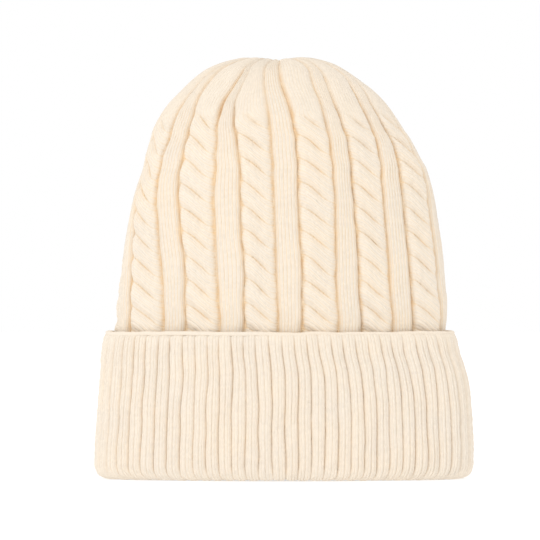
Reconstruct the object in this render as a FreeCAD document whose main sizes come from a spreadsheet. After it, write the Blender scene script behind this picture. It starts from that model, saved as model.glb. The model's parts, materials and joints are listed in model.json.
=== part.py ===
import FreeCAD, Part
import math
import os
import Sketcher

# Knit beanie with a turned-up cuff, millimetres. +Z points up to the gathered top and z = 0 is the
# fold the hat rests on. X runs across the width, -Y is the front, +Y the back with the seam.
# Every cross-section is an oval of four tangent arcs, given by half-width, half-depth and side
# radius. All dimensions sit in the spreadsheet "sizes" and drive the sketches and features.

SIZES = {
    # ribbed band under the cuff; layer_gap parts it from the body, and the cuff from the welt
    "layer_gap": 0.1,
    "wall_rib": 5.4,
    "band_low": 5.5,
    "band_half_w": 97.4,
    "band_half_d": 31.4,
    "band_side_r": 17.4,
    # mouth opening through the fold; mouth_over carries the cut past the fold's floor
    "mouth_half_w": 91.6,
    "mouth_half_d": 25.6,
    "mouth_side_r": 12.0,
    "mouth_over": 3.0,
    # welt on the cuff's free edge; welt_proud is how far it stands out from the cuff
    "welt_proud": 0.3,
    "welt_tall": 2.6,
    "welt_wall": 4.9,
    "welt_round": 0.9,
    # conical dimple in the top; dimple_over carries the cut above the surface
    "dimple_rad": 9.0,
    "dimple_deep": 3.0,
    "dimple_over": 0.5,
    # gathering yarn: ring, knot and two tails; tail_sink is the start below the knot's centre
    "ring_rad": 4.6,
    "ring_tube": 1.2,
    "ring_high": 245.9,
    "knot_rad": 2.3,
    "knot_high": 239.0,
    "tail_rad": 0.9,
    "tail_sink": 1.2,
    "tail_drop": 24.0,
    "tail_spread": 3.2,
    # seam allowance inside the back, and thread on the back of the cuff
    "seam_wide": 4.4,
    "seam_thick": 2.0,
    "seam_gap": 0.35,
    "seam_low": 8.0,
    "thread_wide": 2.0,
    "thread_thick": 1.2,
    # care label; label_start is its near edge in X, label_back its rear face in Y
    "label_long": 30.0,
    "label_tall": 34.0,
    "label_thick": 0.9,
    "label_start": 3.0,
    "label_back": 21.2,
    "label_low": 22.0,
    "label_round": 2.0,
    # stitches; stitch_mid is their centre in X, stitch_rise their start above the label's foot
    "stitch_mid": 1.6,
    "stitch_wide": 1.6,
    "stitch_back": 23.5,
    "stitch_deep": 2.6,
    "stitch_rise": 1.0,
    "stitch_tall": 4.0,
    "stitch_pitch": 8.0,
}
STITCH_COUNT = 4

# Oval stations from bottom to top. Columns: height z, half-width, half-depth, side radius
COLUMNS = ("high", "wide", "deep", "side")
STATIONS = {
    # Outside of the cable-knit body
    "body_out": [
        (82.0, 97.8, 32.0, 18.0),
        (92.0, 97.6, 32.4, 18.1),
        (103.0, 97.1, 33.4, 18.3),
        (115.0, 95.4, 34.4, 18.6),
        (128.0, 93.7, 35.5, 19.0),
        (141.0, 92.1, 36.6, 19.5),
        (154.0, 90.0, 37.7, 20.2),
        (167.0, 87.3, 38.5, 21.0),
        (179.0, 84.2, 38.8, 21.5),
        (190.0, 80.2, 39.0, 22.0),
        (200.0, 76.0, 38.7, 22.7),
        (209.0, 71.8, 38.0, 23.0),
        (217.0, 66.8, 36.5, 23.0),
        (224.0, 60.8, 34.6, 22.7),
        (230.0, 54.5, 32.0, 21.5),
        (235.0, 48.3, 29.2, 20.2),
        (239.0, 42.9, 26.1, 18.5),
        (242.2, 37.7, 22.7, 15.9),
        (244.8, 31.7, 18.4, 12.9),
        (246.6, 25.6, 13.7, 9.5),
        (247.5, 20.0, 11.0, 7.6),
    ],
    # Inside of the body, starting below its lower edge so the cut comes out clean
    "body_in": [
        (80.0, 91.8, 26.0, 13.5),
        (92.0, 91.6, 26.4, 13.7),
        (103.0, 91.1, 27.4, 14.2),
        (115.0, 89.4, 28.4, 14.8),
        (128.0, 87.7, 29.5, 15.3),
        (141.0, 86.0, 30.6, 15.9),
        (154.0, 83.9, 31.6, 16.4),
        (167.0, 81.2, 32.5, 16.9),
        (179.0, 77.9, 32.8, 17.1),
        (190.0, 73.7, 33.0, 17.2),
        (199.0, 69.9, 32.7, 17.0),
        (207.0, 66.0, 32.2, 16.7),
        (214.0, 61.6, 31.1, 16.1),
        (220.0, 56.3, 29.6, 15.4),
        (225.5, 50.5, 27.5, 14.3),
        (230.0, 44.9, 25.2, 13.1),
        (234.0, 39.6, 22.5, 11.7),
        (237.0, 34.7, 19.6, 10.2),
        (239.5, 28.7, 15.6, 8.1),
        (241.0, 22.8, 11.6, 6.0),
        (241.8, 19.1, 9.2, 4.8),
    ],
    # Outside of the turned-up cuff
    "cuff_out": [
        (0.0, 105.4, 36.2, 20.0),
        (2.6, 108.8, 39.6, 22.5),
        (7.0, 110.8, 41.4, 24.0),
        (20.0, 111.3, 41.8, 24.6),
        (45.0, 109.9, 41.0, 24.4),
        (66.0, 107.0, 39.4, 23.8),
        (84.3, 103.3, 37.3, 23.3),
    ],
    # Inside of the cuff, from the floor of the fold to just above the free edge
    "cuff_in": [
        (5.0, 103.6, 34.6, 19.0),
        (20.0, 105.4, 35.8, 19.6),
        (45.0, 104.4, 35.4, 19.4),
        (66.0, 101.9, 34.4, 19.0),
        (86.0, 98.4, 32.5, 18.5),
    ],
}
# Body-inside stations the seam allowance follows
SEAM_STATIONS = (*range(1, 16, 2), 16)

TOLERANCE = 1e-6


# ---- Driving dimensions

def letter(index):
    return chr(97 + index)


for group, rows in STATIONS.items():
    for i, row in enumerate(rows):
        for column, value in zip(COLUMNS, row):
            SIZES["%s_%s_%s" % (group, column, letter(i))] = value

doc = FreeCAD.newDocument("beanie")
sheet = doc.addObject("Spreadsheet::Sheet", "sizes")
for number, (alias, value) in enumerate(SIZES.items(), 1):
    sheet.set("A%d" % number, alias)
    sheet.set("B%d" % number, str(value))
    sheet.setAlias("B%d" % number, alias)
doc.recompute()


class Dim:
    """A number kept together with the spreadsheet expression that drives it."""

    def __init__(self, value, text):
        self.value = value
        self.text = text

    def __float__(self):
        return float(self.value)

    def _join(self, sign, other, value):
        other_text = other.text if isinstance(other, Dim) else str(other)
        return Dim(value, "(%s %s %s)" % (self.text, sign, other_text))

    def __add__(self, other):
        return self._join("+", other, self.value + float(other))

    def __sub__(self, other):
        return self._join("-", other, self.value - float(other))

    def __mul__(self, other):
        return self._join("*", other, self.value * float(other))

    def __truediv__(self, other):
        return self._join("/", other, self.value / float(other))

    def __pow__(self, other):
        return self._join("^", other, self.value ** float(other))

    def __neg__(self):
        return Dim(-self.value, "-(%s)" % self.text)


def size(alias):
    return Dim(SIZES[alias], "sizes." + alias)


def oval_sizes(prefix):
    return [size(prefix + ending) for ending in ("_half_w", "_half_d", "_side_r")]


def stations(group):
    """Returns the group's rows of driving dimensions, in the order of COLUMNS."""
    return [
        [size("%s_%s_%s" % (group, column, letter(i))) for column in COLUMNS]
        for i in range(len(STATIONS[group]))
    ]


BODY_LOW = stations("body_out")[0][0]
BODY_TOP = stations("body_out")[-1][0]
FOLD_FLOOR = stations("cuff_in")[0][0]


# ---- Sketch helpers

Constraint = Sketcher.Constraint
# Sketch references: the origin is point 1 of geometry -1; the axes are -1 and -2
ORIGIN = (-1, 1)
H_AXIS = -1
V_AXIS = -2
START, END, CENTRE = 1, 2, 3


def vector(x, y):
    return FreeCAD.Vector(float(x), float(y), 0)


def circle(x, y, radius):
    return Part.Circle(vector(x, y), FreeCAD.Vector(0, 0, 1), float(radius))


def origin_feature(body, role):
    for feature in body.Origin.OriginFeatures:
        if feature.Role == role:
            return feature


def new_body(name):
    body = doc.addObject("PartDesign::Body", name)
    body.Label = name
    return body


def sketch_on(body, name, role="XY_Plane", offset=None):
    sketch = body.newObject("Sketcher::SketchObject", name)
    sketch.AttachmentSupport = [(origin_feature(body, role), "")]
    sketch.MapMode = "FlatFace"
    if offset is not None:
        sketch.setExpression("AttachmentOffset.Base.z", offset.text)
    return sketch


def drive(sketch, name, kind, references, dim):
    """Adds a named constraint bound to the dimension's expression."""
    index = sketch.addConstraint(Constraint(kind, *references, float(dim)))
    sketch.renameConstraint(index, name)
    sketch.setExpression("Constraints." + name, dim.text)


def polygon(sketch, points):
    """Adds a closed loop of lines; line i starts at point i."""
    count = len(points)
    for i in range(count):
        line = Part.LineSegment(vector(*points[i]), vector(*points[(i + 1) % count]))
        sketch.addGeometry(line, False)
    for i in range(count):
        sketch.addConstraint(Constraint("Coincident", i, END, (i + 1) % count, START))


def oval(sketch, half_w, half_d, side_r, tag):
    """Adds an oval: two equal side arcs and two equal, larger front and back arcs."""
    centre = half_w - side_r
    face_r = (centre ** 2 + half_d ** 2 - side_r ** 2) / ((half_d - side_r) * 2)
    shift = float(face_r - half_d)
    lean = math.atan2(float(centre), shift)
    quarter = math.pi / 2

    def arc(x, y, radius, middle, half_angle):
        bow = Part.ArcOfCircle(circle(x, y, radius), middle - half_angle, middle + half_angle)
        return sketch.addGeometry(bow, False)

    right = arc(centre, 0, side_r, 0, quarter - lean)
    top = arc(0, -shift, face_r, quarter, lean)
    left = arc(-centre, 0, side_r, 2 * quarter, quarter - lean)
    low = arc(0, shift, face_r, 3 * quarter, lean)
    for first, second in ((right, top), (top, left), (left, low), (low, right)):
        sketch.addConstraint(Constraint("Tangent", first, END, second, START))
    sketch.addConstraint(Constraint("PointOnObject", right, CENTRE, H_AXIS))
    sketch.addConstraint(Constraint("Symmetric", right, CENTRE, left, CENTRE, V_AXIS))
    sketch.addConstraint(Constraint("Equal", right, left))
    sketch.addConstraint(Constraint("Equal", top, low))
    drive(sketch, tag + "_centre", "DistanceX", (*ORIGIN, right, CENTRE), centre)
    drive(sketch, tag + "_side", "Radius", (right,), side_r)
    drive(sketch, tag + "_face", "Radius", (top,), face_r)


# ---- Feature helpers

def pad(body, name, profile, length):
    feature = body.newObject("PartDesign::Pad", name)
    feature.Profile = profile
    feature.setExpression("Length", length.text)
    return feature


def revolve(body, kind, name, profile):
    feature = body.newObject("PartDesign::" + kind, name)
    feature.Profile = profile
    feature.ReferenceAxis = (profile, ["V_Axis"])
    feature.Angle = 360.0


def loft(body, kind, name, group):
    """Lofts through the group's stations and recomputes."""
    sketches = []
    for i, (high, wide, deep, side) in enumerate(stations(group)):
        sketch = sketch_on(body, "%s_%s" % (group, letter(i)), offset=high)
        oval(sketch, wide, deep, side, "oval")
        sketches.append(sketch)
    feature = body.newObject("PartDesign::" + kind, name)
    feature.Profile = sketches[0]
    feature.Sections = sketches[1:]
    feature.Ruled = False
    doc.recompute()


def hollow_loft(body, prefix):
    """Lofts the outside and cuts the inside out of it; returns the volume left."""
    loft(body, "AdditiveLoft", prefix + "_outside", prefix + "_out")
    full = body.Shape.Volume
    loft(body, "SubtractiveLoft", prefix + "_inside", prefix + "_in")
    assert body.Shape.Volume < 0.5 * full
    return body.Shape.Volume


def fillet(body, name, selects, radius):
    """Rounds the edges of the body whose bounding box passes the test."""
    doc.recompute()
    base = body.Tip
    edges = [
        "Edge%d" % number
        for number, edge in enumerate(body.Shape.Edges, 1)
        if selects(edge.BoundBox)
    ]
    feature = body.newObject("PartDesign::Fillet", name)
    feature.Base = (base, edges)
    feature.setExpression("Radius", radius.text)
    body.Tip = feature


def tube(name, prefix, low, length, outer, wall):
    """Straight oval tube standing at height low."""
    body = new_body(name)
    sketch = sketch_on(body, prefix + "_ring", offset=low)
    oval(sketch, *outer, "skin")
    oval(sketch, *[dim - wall for dim in outer], "lining")
    pad(body, prefix + "_pad", sketch, length)
    return body


def strip(name, prefix, edge, thick, wide):
    """Strip centred on x = 0: edge lists (y, z) upwards, the thickness goes inward from it."""
    body = new_body(name)
    sketch = sketch_on(body, prefix + "_profile", "YZ_Plane")
    corners = edge + [(y - thick, z) for y, z in reversed(edge)]
    polygon(sketch, corners)
    for i, (y, z) in enumerate(corners):
        drive(sketch, "corner_%d_y" % i, "DistanceX", (*ORIGIN, i, START), y)
        drive(sketch, "corner_%d_z" % i, "DistanceY", (*ORIGIN, i, START), z)
    pad(body, prefix + "_pad", sketch, wide).Midplane = True
    return body


def slab(name, prefix, near, wide, low, tall, back, thick):
    """Upright box: rear face at y = back, thickness towards the front."""
    body = new_body(name)
    # The sketch normal is -Y, so the offset is negative
    sketch = sketch_on(body, prefix + "_profile", "XZ_Plane", -back)
    far, high = near + wide, low + tall
    polygon(sketch, [(near, low), (far, low), (far, high), (near, high)])
    for i, direction in enumerate(("Horizontal", "Vertical", "Horizontal", "Vertical")):
        sketch.addConstraint(Constraint(direction, i))
    drive(sketch, "near", "DistanceX", (*ORIGIN, 0, START), near)
    drive(sketch, "long", "DistanceX", (0, START, 0, END), wide)
    drive(sketch, "low", "DistanceY", (*ORIGIN, 0, START), low)
    drive(sketch, "tall", "DistanceY", (1, START, 1, END), tall)
    pad(body, prefix + "_pad", sketch, thick)
    return body


# ---- Pieces

def knit_body():
    """Cable-knit body: a closed dome, hollow from below, with a dimple in the top."""
    body = new_body("knit_body")
    hollow = hollow_loft(body, "body")
    sketch = sketch_on(body, "dimple_profile", "XZ_Plane")
    reach = size("dimple_rad")
    low = BODY_TOP - size("dimple_deep")
    lid = BODY_TOP + size("dimple_over")
    polygon(sketch, [(0, low), (reach, lid), (0, lid)])
    sketch.addConstraint(Constraint("Vertical", 2))
    sketch.addConstraint(Constraint("Horizontal", 1))
    sketch.addConstraint(Constraint("PointOnObject", 2, END, V_AXIS))
    drive(sketch, "reach", "DistanceX", (*ORIGIN, 0, END), reach)
    drive(sketch, "low", "DistanceY", (*ORIGIN, 0, START), low)
    drive(sketch, "lid", "DistanceY", (*ORIGIN, 0, END), lid)
    revolve(body, "Groove", "gather_dimple", sketch)
    doc.recompute()
    assert body.Shape.Volume < hollow - 50.0
    return body


def rib_band():
    """Ribbed band inside the cuff, from near the fold up to the body."""
    low = size("band_low")
    length = BODY_LOW - size("layer_gap") - low
    return tube("rib_band", "band", low, length, oval_sizes("band"), size("wall_rib"))


def turnup_cuff():
    """The fold at the bottom and the layer standing up outside the band."""
    body = new_body("turnup_cuff")
    cupped = hollow_loft(body, "cuff")
    sketch = sketch_on(body, "mouth_ring")
    oval(sketch, *oval_sizes("mouth"), "mouth")
    pocket = body.newObject("PartDesign::Pocket", "mouth_cut")
    pocket.Profile = sketch
    # Cut upwards from z = 0
    pocket.Reversed = True
    pocket.setExpression("Length", (FOLD_FLOOR + size("mouth_over")).text)
    doc.recompute()
    assert body.Shape.Volume < cupped - 1000.0
    return body


def cuff_welt():
    """Tubular welt along the cuff's free edge, its top edges rounded."""
    cuff_top, *cuff_oval = stations("cuff_out")[-1]
    outer = [dim + size("welt_proud") for dim in cuff_oval]
    low, tall = cuff_top + size("layer_gap"), size("welt_tall")
    body = tube("cuff_welt", "welt", low, tall, outer, size("welt_wall"))
    top = float(low + tall)

    def on_top(box):
        return abs(box.ZMin - top) < TOLERANCE and abs(box.ZMax - box.ZMin) < TOLERANCE

    fillet(body, "welt_soft_edge", on_top, size("welt_round"))
    return body


def gather_yarn():
    """Ring of yarn in the gathered top."""
    body = new_body("gather_yarn")
    sketch = sketch_on(body, "ring_profile", "XZ_Plane")
    reach, high, tube_r = size("ring_rad"), size("ring_high"), size("ring_tube")
    sketch.addGeometry(circle(reach, high, tube_r), False)
    drive(sketch, "tube", "Radius", (0,), tube_r)
    drive(sketch, "reach", "DistanceX", (*ORIGIN, 0, CENTRE), reach)
    drive(sketch, "high", "DistanceY", (*ORIGIN, 0, CENTRE), high)
    revolve(body, "Revolution", "ring_turn", sketch)
    return body


def gather_knot():
    """Ball-shaped knot below the ring."""
    body = new_body("gather_knot")
    sketch = sketch_on(body, "knot_profile", "XZ_Plane")
    radius, high = size("knot_rad"), size("knot_high")
    half_circle = Part.ArcOfCircle(circle(0, high, radius), -math.pi / 2, math.pi / 2)
    sketch.addGeometry(half_circle, False)
    axis_line = Part.LineSegment(vector(0, high + radius), vector(0, high - radius))
    sketch.addGeometry(axis_line, False)
    sketch.addConstraint(Constraint("Coincident", 0, END, 1, START))
    sketch.addConstraint(Constraint("Coincident", 0, START, 1, END))
    for geometry, point in ((0, CENTRE), (1, START), (1, END)):
        sketch.addConstraint(Constraint("PointOnObject", geometry, point, V_AXIS))
    drive(sketch, "ball", "Radius", (0,), radius)
    drive(sketch, "high", "DistanceY", (*ORIGIN, 0, CENTRE), high)
    revolve(body, "Revolution", "knot_turn", sketch)
    return body


def yarn_tails():
    """Two tails hanging from the knot, touching at the top and spreading downwards."""
    body = new_body("yarn_tails")
    radius = size("tail_rad")
    start_z = size("knot_high") - size("tail_sink")
    end_z = start_z - size("tail_drop")
    for side, name in ((1, "tail_one"), (-1, "tail_two")):
        start_x, end_x = radius * side, size("tail_spread") * side
        path = sketch_on(body, name + "_path", "XZ_Plane")
        line = Part.LineSegment(vector(start_x, start_z), vector(end_x, end_z))
        path.addGeometry(line, False)
        drive(path, "start_x", "DistanceX", (*ORIGIN, 0, START), start_x)
        drive(path, "start_z", "DistanceY", (*ORIGIN, 0, START), start_z)
        drive(path, "end_x", "DistanceX", (*ORIGIN, 0, END), end_x)
        drive(path, "end_z", "DistanceY", (*ORIGIN, 0, END), end_z)
        profile = sketch_on(body, name + "_profile", offset=start_z)
        profile.addGeometry(circle(start_x, 0, radius), False)
        profile.addConstraint(Constraint("PointOnObject", 0, CENTRE, H_AXIS))
        drive(profile, "centre_x", "DistanceX", (*ORIGIN, 0, CENTRE), start_x)
        drive(profile, "strand", "Radius", (0,), radius)
        pipe = body.newObject("PartDesign::AdditivePipe", name + "_pipe")
        pipe.Profile = profile
        pipe.Spine = (path, ["Edge1"])
        body.Tip = pipe
        doc.recompute()
    return body


def body_seam():
    """Seam allowance up the inside of the back: band, body and over into the dome."""
    inside = stations("body_in")
    wall_line = [
        (size("band_half_d") - size("wall_rib"), size("seam_low")),
        (inside[0][2], BODY_LOW),
    ]
    wall_line += [(inside[i][2], inside[i][0]) for i in SEAM_STATIONS]
    edge = [(y - size("seam_gap"), z) for y, z in wall_line]
    return strip("body_seam", "seam", edge, size("seam_thick"), size("seam_wide"))


def cuff_seam():
    """Joining thread down the back of the cuff, above the rounded fold."""
    edge = [(deep, high) for high, _, deep, _ in stations("cuff_out")[2:]]
    return strip("cuff_seam", "thread", edge, size("thread_thick"), size("thread_wide"))


def care_label():
    """Blank label inside the back, beside the seam, with its far corners rounded."""
    near, wide = size("label_start"), size("label_long")
    body = slab(
        "care_label", "label", near, wide, size("label_low"), size("label_tall"),
        size("label_back"), size("label_thick"),
    )
    far = float(near + wide)

    def at_far_corner(box):
        at_end = abs(box.XMin - far) < TOLERANCE and abs(box.XMax - far) < TOLERANCE
        return at_end and box.ZLength < TOLERANCE

    fillet(body, "label_corners", at_far_corner, size("label_round"))
    return body


def label_stitches():
    """Upright row of stitches beside the label's near edge."""
    wide = size("stitch_wide")
    body = slab(
        "label_stitches", "stitch", size("stitch_mid") - wide / 2, wide,
        size("label_low") + size("stitch_rise"), size("stitch_tall"),
        size("stitch_back"), size("stitch_deep"),
    )
    doc.recompute()
    stitch = body.Tip
    row = body.newObject("PartDesign::LinearPattern", "stitch_row")
    row.Originals = [stitch]
    row.Direction = (origin_feature(body, "Z_Axis"), [""])
    row.Mode = "Spacing"
    row.setExpression("Offset", size("stitch_pitch").text)
    row.Occurrences = STITCH_COUNT
    body.Tip = row
    return body


PIECES = (
    knit_body, rib_band, turnup_cuff, cuff_welt, gather_yarn, gather_knot,
    yarn_tails, body_seam, cuff_seam, care_label, label_stitches,
)
bodies = [build() for build in PIECES]
doc.recompute()

for item in doc.Objects:
    bad = [state for state in item.State if state in ("Invalid", "Error")]
    assert not bad, (item.Name, item.State)

os.makedirs("parts", exist_ok=True)
for body in bodies:
    assert not body.Shape.isNull() and body.Shape.isValid(), body.Label
    body.Shape.exportStep("parts/%s.step" % body.Label)
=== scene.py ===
"""A cable-knit beanie with a turned-up ribbed cuff.

The hat stands on the floor with its crown up (+Z). Its front faces -Y, and +X is on the right
seen from the front. Lengths are millimetres; meshes are scaled to metres when they are made.
"""
import json
import math
from collections import namedtuple
from functools import partialmethod

import bpy
import numpy as np
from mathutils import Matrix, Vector

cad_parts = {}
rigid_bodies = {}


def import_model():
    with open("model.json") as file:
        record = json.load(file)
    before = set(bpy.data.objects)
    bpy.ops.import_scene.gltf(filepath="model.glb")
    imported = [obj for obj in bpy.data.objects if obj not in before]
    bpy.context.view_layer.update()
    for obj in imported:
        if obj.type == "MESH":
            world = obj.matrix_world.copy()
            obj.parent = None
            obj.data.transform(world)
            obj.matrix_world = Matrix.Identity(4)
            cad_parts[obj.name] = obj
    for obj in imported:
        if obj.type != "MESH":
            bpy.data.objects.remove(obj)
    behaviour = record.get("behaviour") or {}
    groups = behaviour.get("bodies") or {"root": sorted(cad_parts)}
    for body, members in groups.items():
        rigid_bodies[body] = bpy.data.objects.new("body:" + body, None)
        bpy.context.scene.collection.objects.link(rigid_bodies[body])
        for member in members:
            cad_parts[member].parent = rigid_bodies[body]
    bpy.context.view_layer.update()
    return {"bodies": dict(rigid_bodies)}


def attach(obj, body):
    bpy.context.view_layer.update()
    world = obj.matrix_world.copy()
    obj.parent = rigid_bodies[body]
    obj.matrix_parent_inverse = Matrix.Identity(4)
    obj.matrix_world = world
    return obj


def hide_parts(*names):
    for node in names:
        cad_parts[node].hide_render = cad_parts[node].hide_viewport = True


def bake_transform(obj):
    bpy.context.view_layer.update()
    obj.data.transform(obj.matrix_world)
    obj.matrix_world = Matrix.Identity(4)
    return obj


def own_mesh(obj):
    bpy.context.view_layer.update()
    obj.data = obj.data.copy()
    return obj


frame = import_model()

MM = 0.001
TAU = 2 * np.pi
SPLIT = 1  # a quick build has half the rows and columns
FINE_ROW = 0.467 * SPLIT  # spacing of mesh rows on the outside
BAND_ROW = 0.7 * SPLIT  # on the band under the cuff
CUFF_BACK_ROW = 2.2 * SPLIT  # on the cuff's hidden side
BODY_IN_ROW = 1.25 * SPLIT  # on the inside of the body

# ---------------------------------------------------------------- knitting
WALE = 1.87  # width of one column of stitches
ROWH = 1.40  # height of one row of stitches
COLS_PER_WALE = 4  # mesh columns
REPEATS = 12  # cables round the hat, each followed by a rib band
CABLE_WALES = 11
BAND_WALES = 7
REPEAT_WALES = CABLE_WALES + BAND_WALES
CPR = REPEAT_WALES * COLS_PER_WALE // SPLIT  # mesh columns per repeat
NC = REPEATS * CPR  # mesh columns round the body
# Pattern coordinate, in repeats: 0 at the front, -6 at the back, growing towards +X. Rib bands
# are centred on whole numbers and cables on halves.
P_COL = -6 + np.arange(NC) / CPR
EDGE = CABLE_WALES / 2 / REPEAT_WALES  # from a cable's middle to the valley beside it
GUTTER = CABLE_WALES / 2  # the same in wales
PITCH = 14.35  # height of one twist of a cable
DROP = 12.6  # how far a twist falls as it crosses the cable
TWIST_START = 103.4  # height the twists are counted from
CABLE_RISE = 3.5
BAND_RISE = 2.75

RIBS = 66  # ribs round the cuff
RIB_WALES = 4
CPB = RIB_WALES * COLS_PER_WALE // SPLIT  # mesh columns per rib
NR = RIBS * CPB  # mesh columns round the cuff

# ---------------------------------------------------------------- outlines
# Each station is an oval: height z, half-width in X, half-depth in Y, radius of its sides.
BODY_OUT = [
    (76.0, 97.3, 31.6, 17.8), (82.0, 97.8, 32.0, 18.0), (92.0, 97.6, 32.4, 18.1),
    (103.0, 97.6, 33.4, 18.3), (115.0, 96.4, 34.4, 18.6), (128.0, 95.2, 35.5, 19.0),
    (141.0, 93.6, 36.6, 19.5), (154.0, 91.4, 37.7, 20.2), (167.0, 88.8, 38.5, 21.0),
    (179.0, 85.1, 38.8, 21.5), (190.0, 81.0, 39.0, 22.0), (200.0, 76.8, 38.7, 22.7),
    (209.0, 72.2, 38.0, 23.0), (217.0, 67.4, 36.5, 23.0), (224.0, 61.8, 34.6, 22.7),
    (230.0, 55.5, 32.0, 21.5), (235.0, 49.3, 29.2, 20.2), (239.0, 43.9, 26.1, 18.5),
    (242.2, 38.7, 22.9, 16.2), (244.8, 32.3, 19.2, 14.0), (246.6, 25.6, 15.6, 11.6),
    (247.5, 20.0, 12.6, 9.8), (247.4, 15.0, 10.2, 8.6), (246.6, 11.2, 8.4, 7.6),
    (245.3, 8.2, 6.8, 6.5), (243.7, 5.9, 5.3, 5.2), (241.6, 4.0, 3.8, 3.75),
    (239.9, 3.3, 3.2, 3.15),
]
RISING = 22  # stations of BODY_OUT up to its highest, before it dips into the gather
BODY_IN = [
    (77.0, 91.8, 26.0, 13.5), (92.0, 91.6, 26.4, 13.7), (103.0, 91.1, 27.4, 14.2),
    (115.0, 89.4, 28.4, 14.8), (128.0, 87.7, 29.5, 15.3), (141.0, 86.0, 30.6, 15.9),
    (154.0, 83.9, 31.6, 16.4), (167.0, 81.2, 32.5, 16.9), (179.0, 77.9, 32.8, 17.1),
    (190.0, 73.7, 33.0, 17.2), (199.0, 69.9, 32.7, 17.0), (207.0, 66.0, 32.2, 16.7),
    (214.0, 61.6, 31.1, 16.1), (220.0, 56.3, 29.6, 15.4), (225.5, 50.5, 27.5, 14.3),
    (230.0, 44.9, 25.2, 13.1), (234.0, 39.6, 22.5, 12.0), (237.0, 34.7, 19.6, 11.0),
    (239.3, 28.0, 15.8, 10.0), (240.3, 19.0, 11.5, 8.6), (240.6, 11.0, 7.8, 6.8),
    (240.7, 6.0, 5.4, 5.2),
]
CUFF_OUT = [
    (85.6, 101.6, 35.8, 21.8), (85.2, 102.8, 36.9, 22.9), (84.2, 103.5, 37.4, 23.3),
    (75.0, 105.6, 38.4, 23.6), (66.0, 107.6, 39.4, 23.8), (45.0, 110.3, 41.0, 24.4),
    (28.0, 111.4, 41.6, 24.6), (17.0, 111.9, 41.8, 24.6), (9.0, 111.8, 41.5, 24.3),
    (4.4, 110.8, 40.5, 23.4), (1.6, 108.6, 38.8, 22.2), (0.2, 104.6, 36.6, 20.8),
    (0.0, 101.8, 34.4, 19.3), (0.5, 99.0, 32.1, 17.8), (2.2, 96.6, 30.1, 16.4),
    (4.8, 95.2, 28.9, 15.6),
]
CUFF_BACK = [  # the cuff's hidden side, against the band
    (5.4, 96.6, 30.0, 16.4), (5.2, 99.4, 32.2, 17.8), (7.0, 102.6, 34.6, 19.2),
    (12.0, 104.8, 35.9, 19.8), (28.0, 105.4, 36.0, 19.8), (45.0, 104.6, 35.6, 19.5),
    (66.0, 101.9, 34.5, 19.0), (84.0, 98.9, 32.9, 18.8),
]
BAND_OUT = [
    (83.2, 96.4, 30.6, 17.0), (81.0, 97.0, 31.0, 17.2), (60.0, 97.3, 31.3, 17.4),
    (30.0, 97.3, 31.3, 17.4), (14.0, 97.4, 31.2, 17.2), (4.9, 97.6, 31.2, 17.0),
]
BAND_IN = [
    (82.6, 92.0, 26.0, 13.4), (60.0, 91.9, 26.0, 13.4), (36.0, 92.0, 26.1, 13.5),
    (18.0, 92.9, 26.9, 14.0), (8.0, 94.2, 28.0, 14.9), (4.7, 95.2, 28.9, 15.6),
]
# Height, then the left and right edge of each of the six front cables, as X in the front view
# projected onto the plane Y = 0. None is an edge out of sight.
LAYOUT = [
    (87.6, [-90.6, -69.7, -57.3, -37.0, -22.9, -2.9, 10.9, 32.5, 45.9, 64.5, 76.4, 92.9]),
    (107.0, [-90.3, -70.4, -57.6, -37.9, -22.8, -3.5, 11.2, 31.8, 45.1, 63.4, 75.5, 92.0]),
    (126.4, [-89.5, -71.7, -57.9, -38.8, -22.6, -4.1, 11.4, 31.2, 44.4, 62.3, 74.3, 89.9]),
    (145.2, [-88.4, -73.4, -60.1, -39.7, -24.5, -4.7, 9.9, 30.9, 43.4, 61.0, 72.4, 87.7]),
    (164.1, [-87.1, -74.5, -61.6, -40.6, -25.1, -5.3, 9.2, 30.6, 41.7, 59.2, 70.6, 85.7]),
    (178.8, [-84.2, -73.4, -61.4, -40.0, -25.1, -6.0, 9.0, 29.6, 40.5, 57.9, 68.6, 83.7]),
    (193.5, [None, -70.1, -58.7, -39.5, -26.5, -6.6, 8.2, 28.2, 38.8, 56.4, 66.2, None]),
    (204.0, [None, -66.4, -56.2, -39.0, -27.9, -7.3, 7.3, 26.8, 37.0, 53.7, 61.6, None]),
    (213.4, [None, None, -53.6, -37.7, -28.9, -8.2, 5.4, 24.7, 33.6, 49.6, 56.3, None]),
    (222.9, [None, None, -50.9, -34.6, -27.8, -9.6, 2.6, 22.0, 29.7, 44.9, 50.9, None]),
    (231.1, [None, None, -46.5, -29.3, -24.1, -10.7, -0.2, 18.6, 26.7, 40.6, 45.9, None]),
    (238.1, [None, None, None, -24.7, -20.7, -10.8, -1.6, 16.4, 23.9, 36.7, 41.3, None]),
    (243.4, [None, None, None, -21.5, -18.2, -10.6, -2.4, 14.7, 21.8, 34.1, None, None]),
]
LAYOUT_FRONT = 34.0  # how far in front of the hat's middle the layout's heights are taken
LAYOUT_INSET = 1.2  # depth under the outline at which the edges lie
# The hat leans a little: height, X of its middle
LEAN = np.array([
    (0, 0.6), (30, 0.8), (48, 0.8), (62, 0.5), (76, -1.2), (86, -1.7), (95, -0.9),
    (110, -0.3), (160, 0.6), (182, 1.0), (190, -0.3), (200, -1.6), (207, -3.0),
    (217, -3.4), (228, -3.6), (235, -4.6), (241, -5.0), (245, -4.4), (249, -3.0),
], float)

CAM = (-7.6, -2600.0, 122.9)
VIEW_WIDTH = 318.2  # width of the camera's view at Y = 0


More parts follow.
